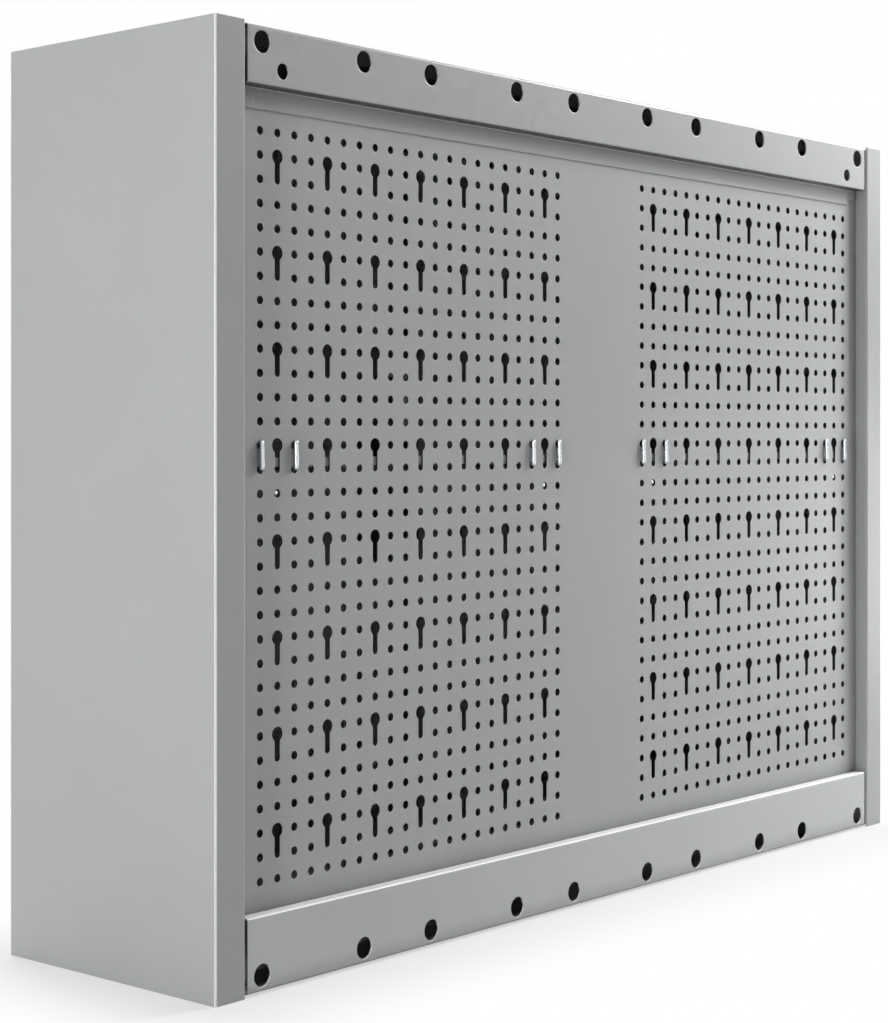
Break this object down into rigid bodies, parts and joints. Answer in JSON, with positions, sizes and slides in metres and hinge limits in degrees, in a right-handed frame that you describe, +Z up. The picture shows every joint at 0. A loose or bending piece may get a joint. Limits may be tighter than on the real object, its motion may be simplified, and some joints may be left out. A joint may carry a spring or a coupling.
{
  "type": "wall-hung tool cabinet with doors",
  "caption": "Wall-hung sheet-steel tool cabinet: perforated back set between folded wall rails, hinged front doors with a cup handle and cam lock, and shelves on wire brackets.",
  "frame": {"origin": "middle of the cabinet's width and depth, at the level of its underside", "axes": "+Z up; the doors face -Y and the perforated back faces +Y; +X is to the right as seen from the doors"},
  "size_m": [0.8, 0.198, 0.595],
  "materials": {
    "body_paint": "light grey powder coat, fine texture, satin",
    "door_paint": "light grey powder coat, fine texture, satin",
    "zinc_wire": "bright zinc plate on drawn wire",
    "zinc_steel": "zinc plate",
    "nylon": "natural nylon",
    "black_plastic": "fine moulded texture",
    "rubber": "matte",
    "lock_chrome": "polished"
  },
  "bodies": {
    "cabinet": {"side_panel_left": "body_paint", "side_panel_right": "body_paint", "top_panel": "body_paint", "bottom_panel": "body_paint", "back_panel": "body_paint", "shelf_left": "body_paint", "shelf_right": "body_paint", "shelf_bracket_left_outer": "zinc_wire", "shelf_bracket_left_inner": "zinc_wire", "shelf_bracket_right_inner": "zinc_wire", "shelf_bracket_right_outer": "zinc_wire", "pivot_pins": "zinc_steel", "magnetic_catches": "black_plastic", "catch_poles": "zinc_steel", "catch_screws": "zinc_steel", "door_buffers": "rubber"},
    "left_door": {"door_left": "door_paint", "door_left_stiffener": "body_paint", "door_left_bushes": "nylon", "keeper_left": "zinc_steel", "bolt_guide_top": "zinc_steel", "bolt_guide_bottom": "zinc_steel", "guide_screws": "zinc_steel"},
    "right_door": {"door_right": "door_paint", "door_right_stiffener": "body_paint", "door_right_bushes": "nylon", "cup_handle": "black_plastic", "lock_barrel": "lock_chrome", "lock_nut": "zinc_steel", "keeper_right": "zinc_steel"},
    "lock": {"lock_plug": "lock_chrome", "lock_cam": "zinc_steel", "lock_cam_screw": "zinc_steel"},
    "upper_bolt": {"bolt_rod_top": "zinc_steel"},
    "lower_bolt": {"bolt_rod_bottom": "zinc_steel"}
  },
  "joints": [
    {"name": "left_door_hinge", "type": "hinge", "parent": "cabinet", "child": "left_door", "pos_m": [-0.3685, -0.09, 0.2975], "axis": [0, 0, -1], "range_deg": [0, 100]},
    {"name": "right_door_hinge", "type": "hinge", "parent": "cabinet", "child": "right_door", "pos_m": [0.3685, -0.09, 0.2975], "axis": [0, 0, 1], "range_deg": [0, 100]},
    {"name": "lock_turn", "type": "hinge", "parent": "right_door", "child": "lock", "pos_m": [0.032, -0.089, 0.39], "axis": [0, 1, 0], "range_deg": [0, 90]},
    {"name": "upper_bolt_slide", "type": "slide", "parent": "left_door", "child": "upper_bolt", "axis": [0, 0, 1], "range_m": [0, 0.012]},
    {"name": "lower_bolt_slide", "type": "slide", "parent": "left_door", "child": "lower_bolt", "axis": [0, 0, -1], "range_m": [0, 0.012]}
  ]
}
